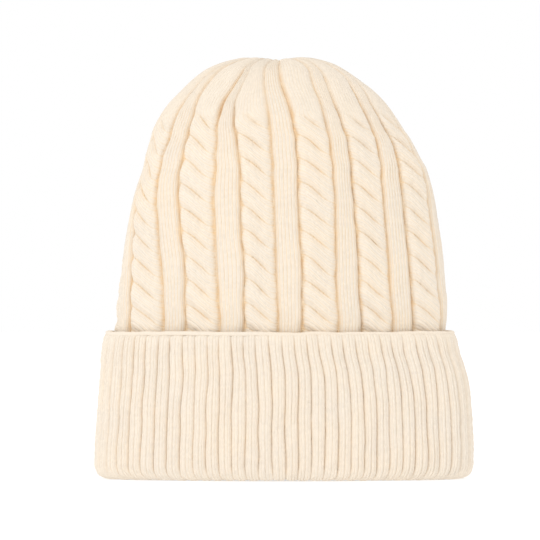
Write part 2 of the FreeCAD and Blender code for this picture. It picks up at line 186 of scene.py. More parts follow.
# ---------------------------------------------------------------- curves and noise
def pchip(x, y, at):
    """Monotone cubic through (x, y), at the places given."""
    x, y, at = np.asarray(x, float), np.asarray(y, float), np.asarray(at, float)
    step = np.diff(x)
    rate = np.diff(y) / np.diff(x)
    slope = np.zeros_like(y)
    for i in range(1, len(x) - 1):
        if rate[i - 1] * rate[i] > 0:
            w1, w2 = 2 * step[i] + step[i - 1], step[i] + 2 * step[i - 1]
            slope[i] = (w1 + w2) / (w1 / rate[i - 1] + w2 / rate[i])
    slope[0], slope[-1] = rate[0], rate[-1]
    at = np.clip(at, x[0], x[-1])
    k = np.clip(np.searchsorted(x, at, side="right") - 1, 0, len(x) - 2)
    t = (at - x[k]) / step[k]
    return (
        (2 * t**3 - 3 * t**2 + 1) * y[k]
        + (t**3 - 2 * t**2 + t) * step[k] * slope[k]
        + (-2 * t**3 + 3 * t**2) * y[k + 1]
        + (t**3 - t**2) * step[k] * slope[k + 1]
    )


def smooth(start, end, x):
    t = np.clip((x - start) / (end - start), 0, 1)
    return t * t * (3 - 2 * t)


def bell(x, middle, width):
    return np.exp(-(((x - middle) / width) ** 2))


def dome(x, power):
    """1 at x = 0, falling to 0 at -1 and 1; a higher power has a flatter top."""
    return np.clip(1 - np.abs(x) ** power, 0, 1)


def half_circle(phase):
    """A strand's round section as phase goes from 0 to 1."""
    return np.sqrt(np.clip(1 - (2 * phase - 1) ** 2, 0, 1))


def spline_weights(t):
    """Catmull-Rom weights of four neighbours, at t between the middle two."""
    return [
        -0.5 * t**3 + t**2 - 0.5 * t,
        1.5 * t**3 - 2.5 * t**2 + 1,
        -1.5 * t**3 + 2 * t**2 + 0.5 * t,
        0.5 * t**3 - 0.5 * t**2,
    ]


def noise(shape, cells, seed):
    """Smooth value noise, about -1 to 1, on a (rows, columns) grid; it joins up across the
    columns. cells is how many it has up and round."""
    (rows, cols), (up, around) = shape, cells
    grid = np.random.default_rng(seed).uniform(-1, 1, (up + 4, around))
    r = np.linspace(1, up + 1, rows)
    c = np.arange(cols) / cols * around
    ri, ci = np.floor(r).astype(int), np.floor(c).astype(int)
    wr, wc = spline_weights(r - ri), spline_weights(c - ci)
    part = sum(wr[k][:, None] * grid[np.clip(ri + k - 1, 0, up + 3)] for k in range(4))
    return sum(wc[k][None, :] * part[:, (ci + k - 1) % around] for k in range(4))


def soft_form(shape, seed, amount):
    """Slow unevenness of a soft hat: no side is a perfect curve."""
    slow, quicker = noise(shape, (5, 9), seed), noise(shape, (11, 20), seed + 1)
    return amount * (slow * 0.7 + quicker * 0.3)


def layered(*parts):
    """Arrays broadcast together and stacked on a last axis."""
    return np.stack(np.broadcast_arrays(*parts), -1)


# ---------------------------------------------------------------- the hat's form
def oval(half_x, half_y, side_r, fraction):
    """Point on an oval of four arcs, at an arc fraction from -1 to 1: 0 is the middle of the
    front and positive is towards +X. Also gives half the way round."""
    half_x, half_y, side_r, fraction = np.broadcast_arrays(half_x, half_y, side_r, fraction)
    fraction = np.mod(fraction + 1, 2) - 1
    centre = ((half_x - side_r) ** 2 - (half_y - side_r) ** 2) / (2 * (half_y - side_r))
    face_r = half_y + centre
    turn = np.arctan2(half_x - side_r, centre)
    face, side = face_r * turn, side_r * (np.pi / 2 - turn)
    half = 2 * (face + side)
    run = np.abs(fraction) * half
    angle = np.clip(run, 0, face) / face_r
    x, y = face_r * np.sin(angle), centre - face_r * np.cos(angle)
    angle = turn + np.clip(run - face, 0, 2 * side) / side_r
    on_side = run > face
    x = np.where(on_side, (half_x - side_r) + side_r * np.sin(angle), x)
    y = np.where(on_side, -side_r * np.cos(angle), y)
    angle = np.clip(half - run, 0, face) / face_r
    on_back = run > face + 2 * side
    x = np.where(on_back, face_r * np.sin(angle), x)
    y = np.where(on_back, face_r * np.cos(angle) - centre, y)
    return x * np.where(fraction < 0, -1.0, 1.0), y, half


def path(table, spacing):
    """Evenly spaced rows along a table of stations: its four columns, each (rows, 1), and the
    distance along the rows."""
    stations = np.array(table, float)

    def step(change):
        return np.sqrt(change[0] ** 2 + (0.5 * (np.abs(change[1]) + np.abs(change[2]))) ** 2)

    rough = np.concatenate([[0], np.cumsum(step(np.diff(stations, axis=0).T))])
    at = np.linspace(0, rough[-1], 4000)
    fine = [pchip(rough, stations[:, k], at) for k in range(4)]
    d = step([np.gradient(values) for values in fine[:3]])
    run = np.concatenate([[0], np.cumsum(0.5 * (d[1:] + d[:-1]))])
    count = max(3, int(round(run[-1] / spacing)) + 1)
    even = np.linspace(0, run[-1], count)
    return [np.interp(even, run, values)[:, None] for values in fine], even[:, None]


def lean(z):
    return pchip(LEAN[:, 0], LEAN[:, 1], z)


def place(sections, fractions):
    """Points of the leaning hat at arc fractions round each section."""
    x, y, _ = oval(*sections[1:], fractions)
    return layered(x + lean(sections[0]), y, sections[0])


def normals(points, wrap_cols=True, wrap_rows=False):
    """Unit normals of a (rows, cols, 3) grid; they point outwards where rows run up and
    columns run from the front to +X."""

    def change(axis, wraps):
        if wraps:
            return np.roll(points, -1, axis) - np.roll(points, 1, axis)
        return np.gradient(points, axis=axis)

    n = np.cross(change(1, wrap_cols), change(0, wrap_rows))
    return n / np.maximum(np.linalg.norm(n, axis=2, keepdims=True), 1e-12)


# ---------------------------------------------------------------- meshes
# Arrays over rows and columns; the last field is painted shade, 0 on top of the knit and 1 deep
# in it where shade falls
Grid = namedtuple("Grid", "points normals uvs hollow")


def make_mesh(name, verts, quads, material, tris=None, uv=None, normal=None, hollow=None):
    """A smooth mesh object; uv, normal and the painted shade have one entry per vertex."""
    quads = np.asarray(quads, int)
    tris = np.zeros((0, 3), int) if tris is None else np.asarray(tris, int)
    mesh = bpy.data.meshes.new(name)
    mesh.vertices.add(len(verts))
    mesh.vertices.foreach_set("co", (np.asarray(verts, float) * MM).astype(np.float32).ravel())
    loops = np.concatenate([quads.ravel(), tris.ravel()])
    mesh.loops.add(len(loops))
    mesh.loops.foreach_set("vertex_index", loops.astype(np.int32))
    total = np.concatenate([np.full(len(quads), 4), np.full(len(tris), 3)])
    start = np.concatenate([[0], np.cumsum(total)[:-1]])
    mesh.polygons.add(len(total))
    mesh.polygons.foreach_set("loop_start", start.astype(np.int32))
    mesh.polygons.foreach_set("loop_total", total.astype(np.int32))
    mesh.polygons.foreach_set("use_smooth", np.ones(len(total), bool))
    if uv is not None:
        layer = mesh.uv_layers.new(name="knit")
        layer.data.foreach_set("uv", np.asarray(uv, np.float32)[loops].ravel())
    # the painted shade is kept as a point attribute that the wool shader reads
    if hollow is not None:
        layer = mesh.attributes.new("painted_hollow_shade", "FLOAT", "POINT")
        layer.data.foreach_set("value", np.asarray(hollow, np.float32))
    mesh.update(calc_edges=True)
    mesh.validate()
    if normal is not None:
        normal = np.asarray(normal, np.float32).reshape(-1, 3)
        mesh.normals_split_custom_set_from_vertices(normal.tolist())
    mesh.materials.append(material)
    piece = bpy.data.objects.new(name, mesh)
    bpy.context.scene.collection.objects.link(piece)
    return piece


def grid_quads(ids, flip=False):
    corners = [ids[:-1, :-1], ids[:-1, 1:], ids[1:, 1:], ids[1:, :-1]]
    quads = np.stack(corners, -1).reshape(-1, 4)
    return quads[:, ::-1] if flip else quads


def zipper(first, second, flip=False):
    """Triangles between two rows of vertices of different lengths that run the same way."""
    last_i, last_j = len(first) - 1, len(second) - 1
    tris, i, j = [], 0, 0
    while i < last_i or j < last_j:
        if j >= last_j or (i < last_i and (i + 1) / last_i <= (j + 1) / last_j):
            tris.append((first[i], first[i + 1], second[j]))
            i += 1
        else:
            tris.append((first[i], second[j + 1], second[j]))
            j += 1
    tris = np.array(tris, int)
    return tris[:, ::-1] if flip else tris


def edge_strips(first, second):
    """Triangles joining the four edges of two grids of vertices."""
    return [
        zipper(first[0], second[0], True),
        zipper(first[-1], second[-1]),
        zipper(first[:, 0], second[:, 0]),
        zipper(first[:, -1], second[:, -1], True),
    ]


def slab(name, outer, inner, material, rim=0.0):
    """A closed piece from an outer and an inner grid. Its edge goes straight in by rim before
    it crosses to the inner grid, so that it stays inside its neighbours."""
    shape, inner_shape = outer.points.shape[:2], inner.points.shape[:2]
    outer_count, inner_count = np.prod(shape), np.prod(inner_shape)
    outer_ids = np.arange(outer_count).reshape(shape)
    inner_ids = np.arange(inner_count).reshape(inner_shape) + outer_count
    parts = [
        [a.reshape(outer_count, -1), b.reshape(inner_count, -1)] for a, b in zip(outer, inner)
    ]
    tris = []
    rim_ids = outer_ids
    if rim > 0:
        edge = np.ones(shape, bool)
        edge[1:-1, 1:-1] = False
        rim_ids = np.full(shape, -1)
        rim_ids[edge] = np.arange(edge.sum()) + outer_count + inner_count
        lip = Grid(*(part[edge] for part in outer))
        lip = lip._replace(
            points=lip.points - lip.normals * rim, hollow=lip.hollow.reshape(-1, 1)
        )
        for part, added in zip(parts, lip):
            part.append(added)
        tris += edge_strips(outer_ids, rim_ids)
    tris += edge_strips(rim_ids, inner_ids)
    verts, normal, uv, hollow = (np.concatenate(part) for part in parts)
    quads = np.concatenate([grid_quads(outer_ids), grid_quads(inner_ids, True)])
    tris = np.concatenate(tris)
    return make_mesh(name, verts, quads, material, tris, uv, normal, hollow.ravel())


def ring(name, grid, material):
    """A closed torus-like piece from a grid that wraps both ways."""
    rows, cols = grid.points.shape[:2]
    ids = np.arange(rows * cols).reshape(rows, cols)
    quads = grid_quads(np.pad(ids, ((0, 1), (0, 1)), mode="wrap"))
    piece = make_mesh(
        name, grid.points.reshape(-1, 3), quads, material,
        normal=grid.normals, hollow=grid.hollow.ravel(),
    )
    # UVs by face corner, so that the last row and column don't run backwards
    u, v = grid.uvs[..., 0], grid.uvs[..., 1]
    u = np.concatenate([u, u[:, :1] + (u[:, 1:2] - u[:, :1]) * cols], 1)
    v = np.concatenate([v, v[:, :1]], 1)
    u = np.concatenate([u, u[-1:]], 0)
    v = np.concatenate([v, v[-1:] + 1.0], 0)
    corners = grid_quads(np.arange((rows + 1) * (cols + 1)).reshape(rows + 1, cols + 1))
    uv = np.stack([u.ravel()[corners], v.ravel()[corners]], -1)
    layer = piece.data.uv_layers.new(name="knit")
    layer.data.foreach_set("uv", uv.astype(np.float32).ravel())
    return piece


def tube(name, points, uvs, hollow, material, ends=None, end_painted_shade=0.0):
    """A tube from rings of points, closed on two end points, or joined in a loop without."""
    count, sides = points.shape[:2]
    ids = np.arange(count * sides).reshape(count, sides)
    ids = np.concatenate([ids, ids[:, :1]], 1)
    verts, uvs, hollow = points.reshape(-1, 3), uvs.reshape(-1, 2), hollow.ravel()
    tris = None
    if ends is None:
        ids = np.concatenate([ids, ids[:1]], 0)
    else:
        first, last = count * sides, count * sides + 1
        tris = [(first, ids[0, k + 1], ids[0, k]) for k in range(sides)]
        tris += [(last, ids[-1, k], ids[-1, k + 1]) for k in range(sides)]
        verts = np.concatenate([verts, ends])
        uvs = np.concatenate([uvs, uvs[:1], uvs[-1:]])
        hollow = np.append(hollow, [end_painted_shade, end_painted_shade])
    return make_mesh(name, verts, grid_quads(ids), material, tris, uvs, hollow=hollow)


# ---------------------------------------------------------------- materials
class Shader:
    """A material, with short calls that make its nodes and link them."""

    def __init__(self, name):
        self.material = bpy.data.materials.new(name)
        self.material.use_nodes = True
        self.tree = self.material.node_tree
        self.tree.nodes.clear()

    def node(self, kind, inputs=(), **settings):
        """Makes a node and gives its outputs. An input is a value or a socket to link."""
        node = self.tree.nodes.new("ShaderNode" + kind)
        for key, value in settings.items():
            setattr(node, key, value)
        for key, value in dict(inputs).items():
            if isinstance(value, bpy.types.NodeSocket):
                self.tree.links.new(value, node.inputs[key])
            else:
                node.inputs[key].default_value = value
        return node.outputs

    def calc(self, operation, *values, clamp=False):
        inputs = dict(enumerate(values))
        return self.node("Math", inputs, operation=operation, use_clamp=clamp)[0]

    add = partialmethod(calc, "ADD")
    sub = partialmethod(calc, "SUBTRACT")
    mul = partialmethod(calc, "MULTIPLY")
    power = partialmethod(calc, "POWER")
    absolute = partialmethod(calc, "ABSOLUTE")
    fract = partialmethod(calc, "FRACT")
    floor = partialmethod(calc, "FLOOR")

    def noise(self, vector, scale, detail, **inputs):
        inputs.update(Vector=vector, Scale=scale, Detail=detail)
        return self.node("TexNoise", inputs)[0]

    def swing(self, source, amount):
        """A 0 to 1 source turned into a change about zero."""
        return self.mul(self.sub(source, 0.5), amount)

    def strand(self, phase):
        """A strand's round section as phase goes from 0 to 1."""
        side = self.absolute(self.sub(self.mul(phase, 2.0), 1.0))
        square = self.sub(1.0, self.mul(side, side))
        return self.calc("SQRT", self.calc("MAXIMUM", square, 0.0))


# UV sockets: plain, and loosened by a slow wander. aside is 0 at a wale's middle, 1 at its edges.
Stitch = namedtuple("Stitch", "uvs u v loose_u loose_v aside")


def stitch_place(g):
    uvs = g.node("UVMap", uv_map="knit")[0]
    u, v, _ = g.node("SeparateXYZ", {0: uvs})
    wander = g.swing(g.noise(uvs, scale=0.55, detail=2.0), 0.9)
    loose_v = g.add(v, wander)
    loose_u = g.add(u, g.mul(wander, 0.25))
    aside = g.mul(g.absolute(g.sub(g.fract(loose_u), 0.5)), 2.0)
    return Stitch(uvs, u, v, loose_u, loose_v, aside)


def stitch_height(g, kind, s):
    if kind == "purl":  # rows of little arcs lying across
        arc = g.mul(g.sub(1.0, g.mul(s.aside, s.aside)), 0.35)
        strand = g.strand(g.fract(g.sub(s.loose_v, arc)))
        return g.mul(strand, g.sub(1.0, g.mul(g.power(s.aside, 4.0), 0.5)))
    if kind == "yarn":  # streaks along the yarn
        stretched = g.node("Mapping", {0: s.uvs, "Scale": (5.0, 1.2, 1.0)})[0]
        return g.mul(g.noise(stretched, scale=1.0, detail=4.0), 1.3)
    if kind == "weave":  # threads over and under in a chequer
        across = g.absolute(g.calc("SINE", g.mul(s.u, 3.14159)))
        up = g.absolute(g.calc("SINE", g.mul(s.v, 3.14159)))
        chequer = g.fract(g.mul(g.add(g.floor(s.u), g.floor(s.v)), 0.5))
        over = g.calc("GREATER_THAN", chequer, 0.25)
        return g.add(g.mul(across, over), g.mul(up, g.sub(1.0, over)))
    if kind == "chain":  # slanted loops
        return g.strand(g.fract(g.add(g.mul(s.loose_u, 1.0), g.mul(s.loose_v, 0.35))))
    # knit: a V whose two legs lean away from the wale's middle
    strand = g.strand(g.fract(g.sub(s.loose_v, g.mul(s.aside, 0.85))))
    leg = g.sub(s.aside, 0.52)
    leg = g.sub(1.0, g.mul(g.mul(leg, leg), 3.2))
    return g.mul(g.add(g.mul(strand, 0.55), 0.45), g.calc("MAXIMUM", leg, 0.0))


def wool_colour(g, s, height, place_in, tint, shade_colour, line):
    """Cream with slow patches and a change from stitch to stitch, and painted shade: warmer and
    darker between stitches and cables, where shade and warm light bounced from the wool fall."""
    # how deep each point lies in the knit, which sets its painted shade
    hollow = g.node("Attribute", attribute_name="painted_hollow_shade")["Fac"]
    slow = g.noise(place_in, scale=38.0, detail=3.0)
    row = g.floor(g.sub(s.loose_v, g.mul(s.aside, 0.85)))
    cell = g.node("CombineXYZ", {0: g.floor(s.loose_u), 1: row})[0]
    cell = g.node("TexWhiteNoise", {"Vector": cell}, noise_dimensions="2D")[0]
    # painted shade in the grooves of the stitches and along the edges of the wales
    groove_shade = g.mul(g.sub(1.0, height, clamp=True), 0.16)
    edge = g.mul(g.sub(s.aside, 0.62, clamp=True), 2.6, clamp=True)
    groove_shade = g.add(groove_shade, g.mul(g.power(edge, 1.5), line))
    # depth mixes the wool's colour towards the painted shade colour
    depth = g.add(g.power(hollow, 1.3), groove_shade, clamp=True)
    inputs = {"A": (*tint, 1), "B": (*shade_colour, 1), "Factor": depth}
    mixed = g.node("Mix", inputs, data_type="RGBA")["Result"]
    value = g.add(g.add(g.swing(cell, 0.05), g.swing(slow, 0.07)), 1.0)
    saturation = g.add(g.swing(slow, 0.35), 1.0)
    inputs = {"Color": mixed, "Value": value, "Saturation": saturation}
    return g.node("HueSaturation", inputs)[0]


def knit_material(name, kind="knit", tint=(0.850, 0.757, 0.640), shade_colour=(0.86, 0.655, 0.42),
                  bump=0.42, line=0.28):
    """Wool in a kind of stitch. The UV map counts stitches across (u) and rows up (v). tint is
    the colour on top, the colour after it the painted shade down in the knit, and line how dark
    the painted shade along the edges of the wales is."""
    g = Shader(name)
    s = stitch_place(g)
    place_in = g.node("TexCoord")["Object"]
    height = stitch_height(g, kind, s)
    # fine fibres and a coarser fuzz
    fine = g.node("Mapping", {0: place_in, "Scale": (5200.0, 5200.0, 1800.0)})[0]
    fibre = g.noise(fine, scale=1.0, detail=3.0, Roughness=0.7)
    fuzz = g.noise(place_in, scale=900.0, detail=2.0)
    relief = g.add(g.add(height, g.mul(fibre, 0.45)), g.mul(fuzz, 0.35))
    inputs = {"Strength": bump, "Distance": 0.0005, "Height": relief}
    surface = g.node("BsdfPrincipled", {
        "Normal": g.node("Bump", inputs)[0],
        "Base Color": wool_colour(g, s, height, place_in, tint, shade_colour, line),
        "Roughness": g.add(g.mul(fuzz, 0.12), 0.82),
        "Specular IOR Level": 0.25,
        "Sheen Weight": 0.22,
        "Sheen Roughness": 0.6,
        "Sheen Tint": (1.0, 0.96, 0.9, 1),
    })
    g.node("OutputMaterial", {0: surface[0]})
    return g.material


# The colour after each tint is the painted shade down in the knit and between its stitches.
MAT_CABLE = knit_material("wool_cable", line=0.34)
MAT_RIB = knit_material("wool_rib", line=0.7)
knit_material("wool_inside", kind="purl")  # a spare purl side, which no piece wears
MAT_CUFF = knit_material(
    "wool_cuff", tint=(0.872, 0.780, 0.662), shade_colour=(0.82, 0.655, 0.48), line=0.42
)
# The welt is the cuff's wool, its tint painted a little darker as shade against the light falling
# on its top.
MAT_WELT = knit_material(
    "wool_welt", kind="chain", tint=(0.838, 0.742, 0.625), shade_colour=(0.78, 0.60, 0.41),
    bump=0.15, line=0.0,
)
MAT_YARN = knit_material("wool_yarn", kind="yarn", bump=0.3, line=0.0)
MAT_THREAD = knit_material(
    "sewing_thread", kind="yarn", tint=(0.90, 0.82, 0.72), bump=0.15, line=0.0
)
MAT_TAPE = knit_material(
    "woven_tape", kind="weave", tint=(0.93, 0.90, 0.85), shade_colour=(0.72, 0.66, 0.58),
    bump=0.18, line=0.0,
)


# ---------------------------------------------------------------- where the cables run
def layout_fractions(columns):
    """The layout's heights on the hat, and at each the arc fraction of every pattern column."""
    table = np.array(BODY_OUT[:RISING], float)
    edges = np.array([i // 2 - 2.5 + (EDGE if i % 2 else -EDGE) for i in range(12)])
    arc = np.linspace(-0.5, 0.5, 2001)
    last_seen = np.zeros(12)
    heights, rows = [], []
    for height, wanted in LAYOUT:
        z = CAM[2] + (height - CAM[2]) * (1 + LAYOUT_FRONT / CAM[1])
        sizes = [pchip(table[:, 0], table[:, k], z) - LAYOUT_INSET for k in (1, 2, 3)]
        x, y, _ = oval(*sizes, arc)
        seen = CAM[0] + (x + lean(z) - CAM[0]) * CAM[1] / (CAM[1] - y)
        low, top = np.argmin(seen), np.argmax(seen)
        for i, want in enumerate(wanted):
            if want is not None:  # an edge out of sight keeps its place
                want = min(max(want, seen[low] + 0.15), seen[top] - 0.15)
                last_seen[i] = np.interp(want, seen[low : top + 1], arc[low : top + 1])
        found = last_seen.copy()
        # but the ones towards +X are drawn in at the crown, and none crowds the next
        most = smooth(226.0, 238.0, height)
        for i, share in zip(range(8, 12), (1.34, 1.25, 1.14, 1.06)):
            found[i] = min(found[i], (1 - most) + most * share * edges[i] / 6.0)
        gap = 0.030
        for i in range(6, 12):
            found[i] = max(found[i], found[i - 1] + gap)
        for i in range(5, -1, -1):
            found[i] = min(found[i], found[i + 1] - gap)
        # beyond the front, the other repeats share what is left of the way round
        middle = np.interp(0.0, edges, found)
        start, end = -1.0 + middle, 1.0 + middle
        left, right = 0.55 * found[0] + 0.45 * start, 0.55 * found[-1] + 0.45 * end
        marks = np.concatenate([[-6.0, -4.4], edges, [4.4, 6.0]])
        found = np.concatenate([[start, left], found, [right, end]])
        heights.append(z)
        rows.append(pchip(marks, found, columns))
    # the part out of sight is smoothed along the height
    rows = np.stack(rows)
    even = rows.copy()
    for _ in range(6):
        even[1:-1] = 0.25 * even[:-2] + 0.5 * even[1:-1] + 0.25 * even[2:]
    hidden = smooth(2.4, 3.2, np.abs(columns))[None, :]
    return np.array(heights), rows * (1 - hidden) + even * hidden


def body_fractions(z, along, columns):
    heights, layout = layout_fractions(columns)
    # past the last height the pattern runs straight on into the gather
    top = np.argmax(z)
    level = np.clip(z.ravel(), heights[0], heights[-1])
    level[top:] = heights[-1]
    last = len(heights) - 1
    k = np.clip(np.searchsorted(heights, level, side="right") - 1, 0, last - 1)
    t = ((level - heights[k]) / (heights[k + 1] - heights[k]))[:, None]
    nearby = (np.maximum(k - 1, 0), k, k + 1, np.minimum(k + 2, last))
    fractions = sum(w * layout[i] for w, i in zip(spline_weights(t), nearby))
    # at the gather the repeats share the way round evenly, sooner round the sides
    even = columns[None, :] / 6.0 + (layout[-1].mean() - (columns / 6.0).mean())
    early = 12 + 22 * smooth(2.1, 3.0, np.abs(columns))[None, :]
    gathered = smooth(along[top] - early, along[-1] - 4, along)
    return fractions * (1 - gathered) + even * gathered


# ---------------------------------------------------------------- the cable-knit body
def wales_from_cable(columns):
    """Wales from the nearest cable's middle, -9 to 9."""
    return (columns - 0.5 - np.round(columns - 0.5)) * REPEAT_WALES


def holes(run):
    """The gaps between the purl stitches in a valley, row by row, where the valley's painted
    shade is darkest.
    """
    return 0.5 + 0.5 * np.sin(TAU * run / ROWH + 1.2)


def cable_rope(wale, along, number):
    """The relief of the twisted cables, 0 to 1.1. Seen from outside, a twist falls from left
    to right. Also gives the twist count, the crest of each strand and the place across."""
    starts = np.random.default_rng(5).uniform(-0.9, 0.9, 12)[number]
    across = np.clip(wale / 5.35, -1, 1)
    fall = 0.5 * (1 + 0.25 * across + 0.75 * np.sin(np.pi * across / 2))
    climb = along + starts + 0.35 * noise(wale.shape, (30, 36), seed=31)
    twist = (climb + DROP * fall) / PITCH
    index = np.floor(twist)
    phase = twist - index
    crest = dome(2 * phase - 1, 2.0) ** 0.72
    # the outline bulges at each crest, most on the left
    half_width = 5.14 + 0.10 * np.sin(index * 12.9898 + number * 4.1)
    half_width = half_width + 0.62 * (crest - 0.6) * smooth(0.2, -0.5, across)
    half_width = half_width + 0.36 * (crest - 0.6)
    spread = wale / half_width
    # creases between strands are shallower towards both edges, and end in a pit on the right
    crease = 3.1 * (1 - 0.80 * smooth(0.08, 0.85, across))
    crease = crease * (1 - 0.38 * smooth(-0.25, -1.0, across))
    crease = crease * (1 + 0.14 * np.sin(index * 7.77 + number * 2.7))
    pit = bell(across, 0.86, 0.13) * bell(phase, 0.5, 0.13)
    tilt = 0.22 * (phase - 0.5) * (1 - across**2)
    rope = dome(spread, 3.8) ** 0.66 * (1 - (crease * (1 - crest) + 0.75 * pit - tilt) / 3.75)
    rope = np.clip(rope + 0.05 * crest * (1 - spread**2), 0, 1.1)
    return rope, twist, crest, across


def crown_folds(z):
    """Two gutters that open into folds near the crown, and one that closes up."""
    column = P_COL[None, :]
    left = bell(column, -1.5 + EDGE, 0.055) * smooth(209.0, 215.0, z) * smooth(245.0, 238.0, z)
    left = left * (1 + 0.75 * bell(z, 217.0, 4.5))
    right = bell(column, 0.5 - EDGE, 0.055) * smooth(196.0, 206.0, z) * smooth(244.0, 236.0, z)
    right = 0.65 * right * (1 + 0.8 * bell(z, 228.0, 6.0))
    shut = bell(column, -0.5 - EDGE, 0.07) * smooth(213.0, 220.0, z) * smooth(247.0, 242.0, z)
    return left + right, shut


def body_outside():
    sections, along = path(BODY_OUT, FINE_ROW)
    z = sections[0]
    top_row = int(np.argmax(z))
    past_top = np.arange(len(z))[:, None] >= top_row
    shape = (len(z), NC)
    fractions = body_fractions(z, along, P_COL)
    base = place(sections, fractions)
    half_round = oval(*sections[1:], fractions)[2]
    repeat_width = half_round * np.abs(np.gradient(fractions, axis=1)) * CPR
    room = np.clip(repeat_width / 35.0, 0.05, 1.3)  # 1 where a repeat has its full width
    number = np.round(P_COL - 0.5).astype(int) % REPEATS
    from_cable = wales_from_cable(P_COL)
    is_band = np.abs(from_cable)[None, :] > GUTTER
    wale = from_cable[None, :] + 0.16 * noise(shape, (24, 60), seed=11)
    run = along + 0.5 * noise(shape, (8, 24), seed=21)  # the rows' own slack

    # how far up the cables turn plain, and the knit is drawn together at the crown
    plain_up = smooth(207.0, 219.0, z + 2.0 * np.sin(number * 2.3)[None, :])
    plain_up = np.where(past_top, 1.0, plain_up)
    plain = np.maximum(plain_up, smooth(88.0, 82.0, z))
    drawn = np.where(past_top, 1.0, smooth(206.0, 232.0, z))

    # the big relief: rope or plain cable, and the rib bands between
    below = len(z) // 2
    first = float(np.interp(TWIST_START, z[:below, 0], along[:below, 0]))
    rope, twist, crest, across = cable_rope(wale, along - first, number)
    flat = dome(wale / (5.12 - 0.1 * drawn), 3.6 - 1.2 * drawn) ** 0.66 * 0.93
    cable = rope * (1 - plain) + flat * plain
    band_x = (9.0 - np.abs(wale)) / (3.24 + 0.05 * noise(shape, (16, 48), seed=15))
    band = dome(band_x, 4.2 - 1.9 * drawn) ** 0.72
    rise = np.where(is_band, BAND_RISE * band, CABLE_RISE * cable)

    # stitch relief: on a twist the wales run along it, elsewhere straight up
    twisted = np.abs(np.cos(np.pi * 4.0 * twist)) ** 0.7
    cable_wales = twisted * (1 - plain) + np.abs(np.cos(np.pi * wale)) ** 0.7 * plain
    band_wales = np.abs(np.cos(np.pi * (wale - 9.0))) ** 0.7
    from_wale = np.mod(wale + 0.5, 1.0) - 0.5
    strand = half_circle(np.mod(run / ROWH - np.abs(from_wale), 1.0)) - 0.6
    band_fine = 0.76 * (band_wales - 1) * np.clip(band, 0, 1) ** 0.3 + 0.18 * strand
    cable_fine = 0.5 * (cable_wales - 1) * np.clip(cable, 0, 1) ** 0.3 + 0.16 * strand
    fine = np.where(is_band, band_fine, cable_fine) + 0.09 * noise(shape, (90, 216), seed=19)
    ladder = 0.26 * np.sin(TAU * run / ROWH) * np.clip(1 - rise / 0.9, 0, 1)
    strength = np.clip(room * 1.55, 0.0, 1.0) ** 0.85 * (1 - 0.30 * drawn)
    height = (rise - CABLE_RISE) * strength + 0.4
    height = height + fine * np.clip(room * 1.2, 0.4, 1) + ladder * strength

    # a gutter's narrow bottom is deeper on a cable's left, seen from outside
    gutter = 0.8 * np.where(wale < 0, 1.0, 0.45) * bell(np.abs(wale), GUTTER, 0.30)
    height = height - gutter * (1 + 0.6 * noise(shape, (60, 48), seed=16)) * strength
    folds, shut = crown_folds(z)
    height = height - 0.90 * folds + 0.9 * shut + soft_form(shape, seed=71, amount=0.55)
    # the middle of the crown dips a little
    height = height - 1.2 * bell(base[..., 0], -4.0, 8.0) * smooth(238.0, 246.5, z)
    points = base + normals(base) * height[..., None]

    # painted shade: in the valleys with their holes, the open folds and the creases of the rope,
    # where shade falls; less where a gutter closes up
    uneven = 1 + 0.30 * noise(shape, (40, 48), seed=17) + 0.18 * noise(shape, (130, 96), seed=18)
    valley_shade = 0.56 * np.clip((2.1 - rise) / 2.1, 0, 1) ** 1.3 * (0.72 + 0.5 * holes(run))
    valley_shade = valley_shade + 0.16 * bell(np.abs(np.abs(wale) - GUTTER), 0, 0.85)
    hollow = valley_shade * uneven * strength * (1 - 0.25 * drawn)
    hollow = np.clip(hollow * (1 - 0.55 * shut) + 0.34 * folds, 0, 1)
    crease = np.clip(1 - crest / 0.70, 0, 1) ** 1.2 * dome((across + 0.02) / 0.86, 2.4)
    hollow = np.where(is_band, hollow, np.maximum(hollow, 0.60 * crease * (1 - plain)))

    # UVs follow the twist; they are matched to the plain ones at the height where those begin
    at = int(np.argmin(np.abs(z[:top_row, 0] - 213.0)))
    match = slice(at, at + 1)
    twist_0 = np.round(4.0 * (twist[match] - across[match] * 0.4)) / 4.0
    u = 4.0 * (twist - twist_0) * (1 - plain_up) + (wale + 0.5) * plain_up
    v = (wale * WALE * 1.25 / ROWH) * (1 - plain_up) + (run - run[match]) / ROWH * plain_up
    uvs = layered(np.where(is_band, wale + 0.5, u), np.where(is_band, run / ROWH, v))
    return Grid(points, normals(points), uvs, hollow)


def body_inside():
    sections, along = path(BODY_IN, BODY_IN_ROW)
    columns = P_COL[::2]
    base = place(sections, body_fractions(sections[0], along, columns))
    wale = wales_from_cable(columns)[None, :]
    dent = -0.8 * bell(np.abs(wale), GUTTER, 0.9)
    uneven = 0.3 * noise(base.shape[:2], (30, 60), seed=91)
    soft = 0.22 * np.cos(TAU * wale) + dent + uneven
    points = base + normals(base) * soft[..., None]
    uvs = layered(wale + 0.5, along / ROWH)
    # the inside is painted in light shade, darker in its dents
    return Grid(points, -normals(points), uvs, np.clip(-soft / 3, 0, 1) + 0.12)


def take(grid, columns):
    """Some columns of a grid that wraps round."""
    columns = np.mod(columns, grid.points.shape[1])
    return Grid(*(part[:, columns] for part in grid))


def body_strip(name, middle, half, material, straight):
    """The mesh columns within half of the middle one, as a closed piece. A straight strip gets
    ruled UVs across."""
    out = take(outside, np.arange(middle - half, middle + half + 1))
    back = take(inside, np.arange((middle - half) // 2, (middle + half) // 2 + 1))
    if straight:
        out.uvs[..., 0] = np.arange(-half, half + 1) * SPLIT / 4.0 + 0.5
        back.uvs[..., 0] = np.arange(back.uvs.shape[1]) * SPLIT / 2.0
    return slab(name, out, back, material, rim=1.5)


